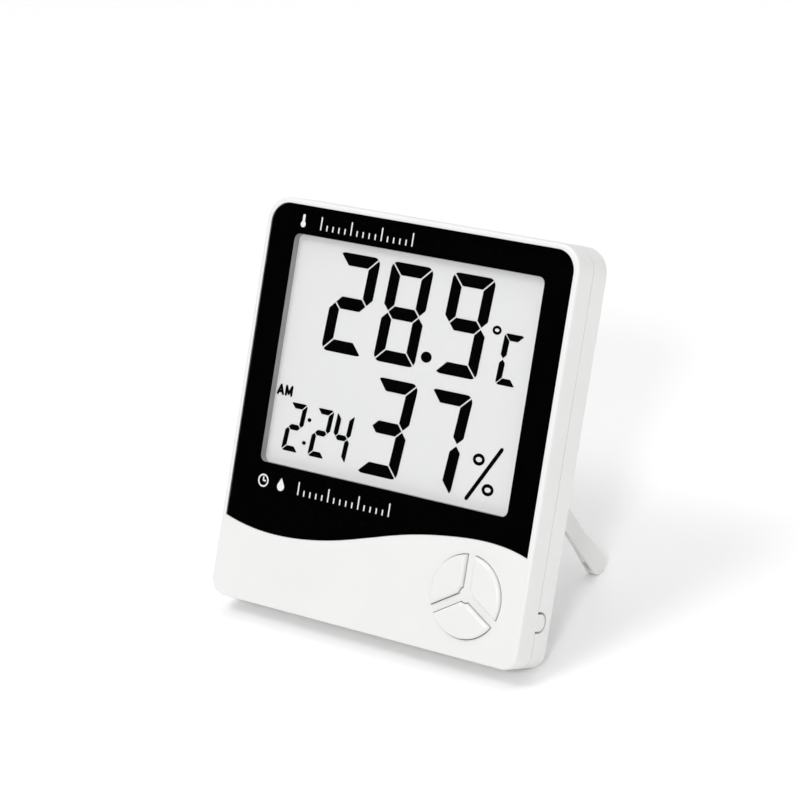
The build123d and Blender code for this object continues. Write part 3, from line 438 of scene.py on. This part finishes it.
def moulded(name, colour, shade, grain, height, mottle, rough, **shader_values):
    """Moulded material: colours, sizes of grain and clouds, grain height and a span of roughness."""
    values = {
        "Colour": tuple(colour), "Shade": tuple(shade), "Grain scale": 1 / grain, "Mottle scale": 1 / mottle,
        "Roughness low": rough[0], "Roughness high": rough[1],
    }
    return new_material(name, shared_group("Moulded", moulded_group), values, height, **shader_values)


def drawn(name, colour, shade, stretch, height, rough, metallic=1.0):
    """Material with streaks along the axis whose stretch is smallest, a metal unless told otherwise."""
    values = {
        "Colour": tuple(colour), "Shade": tuple(shade), "Stretch": stretch,
        "Roughness low": rough[0], "Roughness high": rough[1],
    }
    return new_material(name, shared_group("Drawn", drawn_group), values, height, Metallic=metallic)


def around(roughness, steps):
    """Span of roughness round the case's."""
    return tuple(roughness + step for step in steps)


def printed(name, colour, shade, case):
    """Matt ink: little grain, and no gloss."""
    return moulded(
        name, colour, shade, case.grain, case.grain_height * INK_GRAIN_SHARE, case.mottle, INK_ROUGH,
        Specular_IOR_Level=0.0,
    )


def let_light_through(material):
    """Transparent for shadow rays and diffuse light, so that all of it reaches what lies behind, once."""
    tree = material.node_tree
    shader = tree.nodes["Principled BSDF"]
    output = tree.nodes["Material Output"]
    path = tree.nodes.new("ShaderNodeLightPath")
    either = tree.nodes.new("ShaderNodeMath")
    either.operation = "MAXIMUM"
    clear = tree.nodes.new("ShaderNodeBsdfTransparent")
    mix = tree.nodes.new("ShaderNodeMixShader")
    tree.links.new(path.outputs["Is Shadow Ray"], either.inputs[0])
    tree.links.new(path.outputs["Is Diffuse Ray"], either.inputs[1])
    tree.links.new(either.outputs[0], mix.inputs["Fac"])
    tree.links.new(shader.outputs[0], mix.inputs[1])
    tree.links.new(clear.outputs[0], mix.inputs[2])
    tree.links.new(mix.outputs[0], output.inputs["Surface"])
    return material


def see_through(name, tint, roughness, ior):
    """Clear plastic or glass that lets shadow rays and diffuse light pass."""
    clear = new_material(
        name, Base_Color=(*tint, 1), Roughness=roughness, IOR=ior, Transmission_Weight=1.0
    )
    return let_light_through(clear)


def dress(material, *names):
    """Give CAD nodes a material."""
    for name in names:
        node = nodes[name]
        if not node.material_slots:
            node.data.materials.append(material)
        for slot in node.material_slots:
            slot.material = material


def starting_with(starts):
    """Names of the CAD nodes that start with one of these."""
    return [name for name in nodes if name.startswith(starts)]


def surface_mesh(name, points, wrap_u=False, wrap_v=False):
    """Mesh object of a grid of points, closed along either direction, with merged poles."""
    ids = np.arange(points.shape[0] * points.shape[1]).reshape(points.shape[:2])
    if wrap_u:
        ids = np.vstack([ids, ids[:1]])
    if wrap_v:
        ids = np.hstack([ids, ids[:, :1]])
    quads = np.stack([ids[:-1, :-1], ids[1:, :-1], ids[1:, 1:], ids[:-1, 1:]], -1).reshape(-1, 4)
    mesh = bpy.data.meshes.new(name)
    mesh.from_pydata(points.reshape(-1, 3).tolist(), [], quads.tolist())
    shell = bmesh.new()
    shell.from_mesh(mesh)
    bmesh.ops.remove_doubles(shell, verts=shell.verts, dist=MERGE_DISTANCE)
    bmesh.ops.dissolve_degenerate(shell, edges=shell.edges, dist=MERGE_DISTANCE)
    bmesh.ops.recalc_face_normals(shell, faces=shell.faces)
    shell.to_mesh(mesh)
    shell.free()
    mesh.polygons.foreach_set("use_smooth", [True] * len(mesh.polygons))
    piece = bpy.data.objects.new(name, mesh)
    bpy.context.scene.collection.objects.link(piece)
    return piece


def merged_copy(name, node):
    """New object with a CAD node's mesh, its doubled vertices merged and its faces flat."""
    mesh = nodes[node].data.copy()
    shell = bmesh.new()
    shell.from_mesh(mesh)
    bmesh.ops.remove_doubles(shell, verts=shell.verts, dist=MERGE_DISTANCE)
    shell.to_mesh(mesh)
    shell.free()
    mesh.polygons.foreach_set("use_smooth", [False] * len(mesh.polygons))
    piece = bpy.data.objects.new(name, mesh)
    bpy.context.scene.collection.objects.link(piece)
    return piece


def pull_back_face(piece, node, clearance):
    """Move the back of a sheet forward by a clearance: y of every vertex behind its middle, less that."""
    low, high = case_box(node)
    upright = (vertex_array(piece) - case_origin) @ case_turn
    upright[:, 1] -= clearance * (upright[:, 1] > (low[1] + high[1]) / 2)
    piece.data.vertices.foreach_set("co", to_row(upright).ravel())
    piece.data.update()


def finish_piece(piece, body, slot, material, *replaced):
    """Hand a finished piece to its body and material; the slot is not used."""
    piece.data.materials.clear()
    piece.data.materials.append(material)
    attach(piece, body)
    if replaced:
        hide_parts(*replaced)


def arc(centre, radius, start, end, steps):
    """Points of an arc in a plane: centre plus radius times the cosine and sine of the angle."""
    angle = np.radians(np.linspace(start, end, steps))
    return np.stack([centre[0] + radius * np.cos(angle), centre[1] + radius * np.sin(angle)], -1)


def revolve_x(profile, centre, steps):
    """Surface of revolution about an axis along x.

    The profile gives x and radius. A point lies at centre plus radius times the cosine and sine of
    the angle, in y and z.
    """
    angle = np.linspace(0, 2 * math.pi, steps, endpoint=False)[:, None]
    x = np.broadcast_to(profile[None, :, 0], (steps, len(profile)))
    y = centre[0] + profile[None, :, 1] * np.cos(angle)
    z = centre[1] + profile[None, :, 1] * np.sin(angle)
    return np.stack([x, y, z], -1)


class CLOCK_OT_case(Operator):
    """Finish both shells in white satin plastic with a fine grain"""

    bl_idname = "clock.case"
    bl_label = "Case"

    def execute(self, context):
        props = context.scene.clock_case
        white = moulded(
            "case_white", props.white, props.shade, props.grain, props.grain_height, props.mottle,
            around(props.roughness, CASE_STEPS), IOR=props.ior,
        )
        dress(white, "front_shell", "rear_shell", "battery_door")
        return {"FINISHED"}


class CLOCK_OT_leg(Operator):
    """Finish the fold-out leg in its own, slightly warmer moulding"""

    bl_idname = "clock.leg"
    bl_label = "Leg"

    def execute(self, context):
        props = context.scene.clock_case
        warm = moulded(
            "leg_white", props.leg_white, props.shade, props.grain, props.grain_height, props.mottle,
            around(props.roughness, LEG_STEPS), IOR=props.ior,
        )
        dress(warm, "stand_leg")
        return {"FINISHED"}


class CLOCK_OT_buttons(Operator):
    """Finish the sector buttons, smoother than the case"""

    bl_idname = "clock.buttons"
    bl_label = "Buttons"

    def execute(self, context):
        props = context.scene.clock_case
        smooth = moulded(
            "button_white", props.white, props.shade, props.grain, props.grain_height * BUTTON_GRAIN_SHARE,
            props.mottle, around(props.roughness, BUTTON_STEPS), IOR=props.ior,
        )
        dress(smooth, "button_left", "button_right", "button_bottom")
        board = context.scene.clock_board
        rubber = moulded(
            "mat_rubber", board.rubber, board.rubber_shade, props.grain, props.grain_height, props.mottle,
            RUBBER_ROUGH,
        )
        dress(rubber, "key_mat", "plunger_left", "plunger_right", "plunger_bottom")
        return {"FINISHED"}


class CLOCK_OT_panel(Operator):
    """Clear sheet, black layer and white marks"""

    bl_idname = "clock.panel"
    bl_label = "Panel"

    def execute(self, context):
        props = context.scene.clock_panel
        case = context.scene.clock_case
        clear = see_through("lens_clear", props.clear, props.roughness, props.ior)
        sheet = merged_copy("clear_sheet", "lens_panel")
        pull_back_face(sheet, "lens_panel", props.film_gap)
        finish_piece(sheet, "case", "lens_clear", clear, "lens_panel")
        dress(printed("panel_black", props.black, props.black_shade, case), "lens_mask")
        dress(printed("print_white", props.white, props.white_shade, case), "lens_print")
        return {"FINISHED"}


class CLOCK_OT_display(Operator):
    """Display face, segments, glasses, and the grey wall darkened to paint the recess's shade"""

    bl_idname = "clock.display"
    bl_label = "Display"

    def execute(self, context):
        props = context.scene.clock_display
        case = context.scene.clock_case
        face = moulded(
            "display_grey", props.face, props.face_shade, case.grain * FACE_GRAIN_SHARE,
            case.grain_height * INK_GRAIN_SHARE, case.mottle, INK_ROUGH, Specular_IOR_Level=props.face_gloss,
        )
        dress(face, "lcd_front_polariser")
        dress(printed("segment_black", props.segments, props.segment_shade, case), "lcd_segments")
        # Grey gasket, darkened to paint the shade that falls in the recess round the display
        wall = moulded(
            "gasket_grey", props.wall, props.wall_shade, case.grain, case.grain_height, case.mottle,
            WALL_ROUGH,
        )
        dress(wall, "lcd_gasket")
        glass = see_through("display_glass", props.glass, props.glass_roughness, props.glass_ior)
        dress(glass, "lcd_front_glass", "lcd_rear_glass")
        return {"FINISHED"}


class CLOCK_OT_board(Operator):
    """Circuit board with its chip, and the smaller pieces inside"""

    bl_idname = "clock.board"
    bl_label = "Board"

    def execute(self, context):
        props = context.scene.clock_board
        case = context.scene.clock_case
        mask = drawn(
            "board_green", props.mask, props.trace, tuple(props.trace_stretch), props.trace_height,
            BOARD_ROUGH, 0.0,
        )
        dress(mask, "main_board")
        epoxy = moulded(
            "epoxy_black", props.epoxy, props.epoxy_shade, props.epoxy_grain, props.epoxy_height,
            case.mottle, EPOXY_ROUGH,
        )
        dress(epoxy, "controller_blob", "temperature_sensor")
        for name, colour, shade, mottle, rough, starts in MOULDED_PIECES:
            finish = moulded(
                name, colour, shade, case.grain, case.grain_height, mottle or case.mottle, rough
            )
            dress(finish, *starting_with(starts))
        for name, colour, shade, stretch, rough, metallic, starts in DRAWN_PIECES:
            finish = drawn(name, colour, shade, stretch, 0.0, rough, metallic)
            dress(finish, *starting_with(starts))
        return {"FINISHED"}


class CLOCK_OT_battery(Operator):
    """Sleeved cell and its nickel-plated contacts"""

    bl_idname = "clock.battery"
    bl_label = "Battery"

    def execute(self, context):
        props = context.scene.clock_battery
        low, high = case_box("battery_cell")
        centre = ((low[1] + high[1]) / 2, (low[2] + high[2]) / 2)
        radius = (high[1] - low[1]) / 2
        start, end = low[0], high[0]
        steel = drawn(
            "contact_steel", props.steel, props.steel_shade, tuple(props.steel_stretch), 0.0, STEEL_ROUGH
        )
        sleeve_rows = to_row(revolve_x(self.sleeve_outline(props, start, end, radius), centre, TURN_STEPS))
        sleeve = surface_mesh("cell_sleeve", sleeve_rows, True, True)
        paint = self.sleeve_material(props, start, end)
        finish_piece(sleeve, "case", "cell_sleeve", paint, "battery_cell")
        can_rows = to_row(revolve_x(self.can_outline(props, start, end, radius), centre, TURN_STEPS))
        can = surface_mesh("cell_can", can_rows, True, False)
        finish_piece(can, "case", "contact_steel", steel, "battery_cell")
        dress(steel, "battery_contact", "battery_spring")
        return {"FINISHED"}

    def sleeve_outline(self, props, start, end, radius):
        """Section of the sleeve as x and radius: out along its outer side and back along its inner."""
        thick = props.sleeve_t
        shoulder = end - props.nub_l
        round_r = props.curl / 2
        outer = np.concatenate([
            [(start + thick, radius - props.curl)],
            arc((start + round_r, radius - round_r), round_r, 180, 90, SLEEVE_BEND_STEPS),
            arc((shoulder - round_r, radius - round_r), round_r, 90, 0, SLEEVE_BEND_STEPS),
            [(shoulder - thick, radius - props.curl)],
        ])
        inner = outer[::-1].copy()
        inner[:, 1] -= thick
        inner[:, 0] += np.where(inner[:, 0] > (start + shoulder) / 2, -thick, thick)
        return np.concatenate([outer, inner])

    def can_outline(self, props, start, end, radius):
        """Section of the can and its nub as x and radius, from the rear end's middle to the nub's."""
        thick = props.sleeve_t
        shoulder = end - props.nub_l
        round_r = props.curl / 2
        can_r = radius - thick * 2
        return np.concatenate([
            [(start + thick, 0), (start + thick, radius * END_SHARE)],
            arc((start + round_r + thick, can_r - round_r), round_r, 180, 90, CAN_BEND_STEPS),
            arc((shoulder - round_r - thick, can_r - round_r), round_r, 90, 0, CAN_BEND_STEPS),
            [(shoulder - thick, props.nub_r * NUB_FOOT_SHARE)],
            arc((end - round_r, props.nub_r - round_r), round_r, 90, 0, CAN_BEND_STEPS),
            [(end, 0)],
        ])

    def sleeve_material(self, props, start, end):
        """Sleeve colour changes to the band's at a place along the cell."""
        material = moulded(
            "cell_sleeve", props.sleeve, props.sleeve_shade, props.sleeve_grain, 0.0, props.sleeve_mottle,
            SLEEVE_ROUGH, Coat_Weight=props.coat,
        )
        tree = material.node_tree
        split = tree.nodes.new("ShaderNodeSeparateXYZ")
        tree.links.new(tree.nodes.new("ShaderNodeTexCoord").outputs["Object"], split.inputs[0])
        step = tree.nodes.new("ShaderNodeMath")
        step.operation = "GREATER_THAN"
        shoulder = end - props.nub_l
        step.inputs[1].default_value = shoulder - (shoulder - start) * props.band_share
        tree.links.new(split.outputs["X"], step.inputs[0])
        shader = tree.nodes["Principled BSDF"]
        box = next(node for node in tree.nodes if node.type == "GROUP")
        banded = add_mix(tree, step.outputs[0], box.outputs["Color"], tuple(props.band))
        tree.links.new(banded, shader.inputs["Base Color"])
        tree.links.new(step.outputs[0], shader.inputs["Metallic"])
        return material


class CLOCK_OT_door_arrow(Operator):
    """Raised arrow on the battery door that shows which way it slides"""

    bl_idname = "clock.door_arrow"
    bl_label = "Door arrow"

    def execute(self, context):
        props = context.scene.clock_mark
        low, high = case_box("battery_door")
        middle = ((low[0] + high[0]) / 2, (low[2] + high[2]) / 2)
        half, width = props.length / 2, props.width / 2
        corners = np.array([
            (-half, 0), (0, width), (0, width / 2), (half, width / 2),
            (half, -width / 2), (0, -width / 2), (0, -width),
        ])
        edges = np.roll(corners, -1, 0) - corners
        steps = np.linspace(0, 1, ARROW_STEPS, endpoint=False)[None, :, None]
        rim = (corners[:, None] + edges[:, None] * steps).reshape(-1, 2)
        heart = np.array([props.slope, 0])
        rings = []
        for spread, rise in ARROW_LEVELS:
            flat = heart + (rim - heart) * spread
            depth = np.full(len(flat), high[1] + rise * props.height)
            rings.append(np.stack([middle[0] + flat[:, 0], depth, middle[1] + flat[:, 1]], -1))
        points = np.stack(rings)
        arrow = surface_mesh("door_arrow", to_row(points), False, True)
        finish_piece(arrow, "door", "case_white", bpy.data.materials["case_white"])
        return {"FINISHED"}


class CLOCK_OT_stage(Operator):
    """Pale floor, soft lights and the camera"""

    bl_idname = "clock.stage"
    bl_label = "Stage"

    def execute(self, context):
        props = context.scene.clock_stage
        scene = context.scene
        self.add_floor(props)
        self.add_camera(scene, props)
        self.add_world(scene, props)
        target = Vector(to_row([tuple(props.target)])[0])
        for name, place, size, power in LIGHTS:
            self.add_light(name, Vector(place), target, size, getattr(props, power))
        self.add_flag(props, target)
        scene.view_settings.view_transform = "Standard"
        return {"FINISHED"}

    def add_floor(self, props):
        """Square floor under the object."""
        half = props.floor_size / 2
        line = np.linspace(-half, half, FLOOR_STEPS)
        x, y = np.meshgrid(line, line)
        floor = surface_mesh("floor", np.stack([x, y, np.zeros_like(x)], -1))
        pale = new_material("floor", Base_Color=(*props.floor, 1), Roughness=props.floor_roughness)
        floor.data.materials.append(pale)

    def add_camera(self, scene, props):
        """Camera from its place and two of its axes in the upright case frame."""
        data = bpy.data.cameras.new("camera")
        data.lens = props.focal
        data.sensor_width = SENSOR_WIDTH
        camera = bpy.data.objects.new("camera", data)
        scene.collection.objects.link(camera)
        back = -np.array(props.forward)
        back /= np.linalg.norm(back)
        right = np.array(props.right)
        right -= back * (right @ back)
        right /= np.linalg.norm(right)
        axes = case_turn @ np.stack([right, np.cross(back, right), back], -1)
        matrix = Matrix(axes.tolist()).to_4x4()
        matrix.translation = Vector(to_row([tuple(props.place)])[0])
        camera.matrix_world = matrix
        scene.camera = camera

    def add_world(self, scene, props):
        """Even pale light from all round."""
        world = bpy.data.worlds.new("studio")
        world.use_nodes = True
        background = world.node_tree.nodes["Background"]
        background.inputs["Color"].default_value = (1, 1, 1, 1)
        background.inputs["Strength"].default_value = props.world
        scene.world = world

    def add_light(self, name, place, target, size, power):
        """Square area light that faces the target."""
        data = bpy.data.lights.new(name, "AREA")
        data.size = size
        data.energy = power
        light = bpy.data.objects.new(name, data)
        bpy.context.scene.collection.objects.link(light)
        turn = (place - target).to_track_quat("Z", "Y").to_matrix().to_4x4()
        light.matrix_world = Matrix.Translation(place) @ turn

    def add_flag(self, props, target):
        """Black card that only reflections see, where the front face mirrors the camera's view."""
        eye = Vector(to_row([tuple(props.place)])[0]) - target
        normal = Vector(case_turn @ np.array([0, -1, 0]))
        mirror = 2 * normal.dot(eye) * normal - eye
        centre = target + mirror * props.flag_reach
        across = mirror.orthogonal().normalized()
        up = across.cross(mirror).normalized()
        half = props.flag_size / 2
        grid = [[tuple(centre + across * u + up * v) for v in (-half, half)] for u in (-half, half)]
        flag = surface_mesh("flag", np.array(grid))
        black = new_material("flag", Base_Color=(0, 0, 0, 1), Roughness=1.0, Specular_IOR_Level=0.0)
        flag.data.materials.append(black)
        flag.visible_camera = flag.visible_diffuse = flag.visible_shadow = False


class CLOCK_PT_panel(Panel):
    """Sidebar list of the operators"""

    bl_idname = "CLOCK_PT_panel"
    bl_label = "Clock"
    bl_space_type = "VIEW_3D"
    bl_region_type = "UI"
    bl_category = "Clock"

    def draw(self, context):
        for operator in OPERATORS:
            self.layout.operator(operator.bl_idname)


PROPS = {
    "clock_case": ClockCaseProps,
    "clock_panel": ClockPanelProps,
    "clock_display": ClockDisplayProps,
    "clock_board": ClockBoardProps,
    "clock_battery": ClockBatteryProps,
    "clock_mark": ClockMarkProps,
    "clock_stage": ClockStageProps,
}
OPERATORS = (
    CLOCK_OT_case, CLOCK_OT_leg, CLOCK_OT_buttons, CLOCK_OT_panel, CLOCK_OT_display, CLOCK_OT_board,
    CLOCK_OT_battery, CLOCK_OT_door_arrow, CLOCK_OT_stage,
)


def register():
    """Add the property groups, operators and panel."""
    for name, group in PROPS.items():
        bpy.utils.register_class(group)
        setattr(bpy.types.Scene, name, PointerProperty(type=group))
    for cls in (*OPERATORS, CLOCK_PT_panel):
        bpy.utils.register_class(cls)


def unregister():
    """Remove them again."""
    for cls in reversed((*OPERATORS, CLOCK_PT_panel)):
        bpy.utils.unregister_class(cls)
    for name, group in reversed(PROPS.items()):
        delattr(bpy.types.Scene, name)
        bpy.utils.unregister_class(group)


def main():
    register()
    bpy.ops.clock.case()
    bpy.ops.clock.leg()
    bpy.ops.clock.buttons()
    bpy.ops.clock.panel()
    bpy.ops.clock.display()
    bpy.ops.clock.board()
    bpy.ops.clock.battery()
    bpy.ops.clock.door_arrow()
    bpy.ops.clock.stage()


if __name__ == "__main__":
    main()
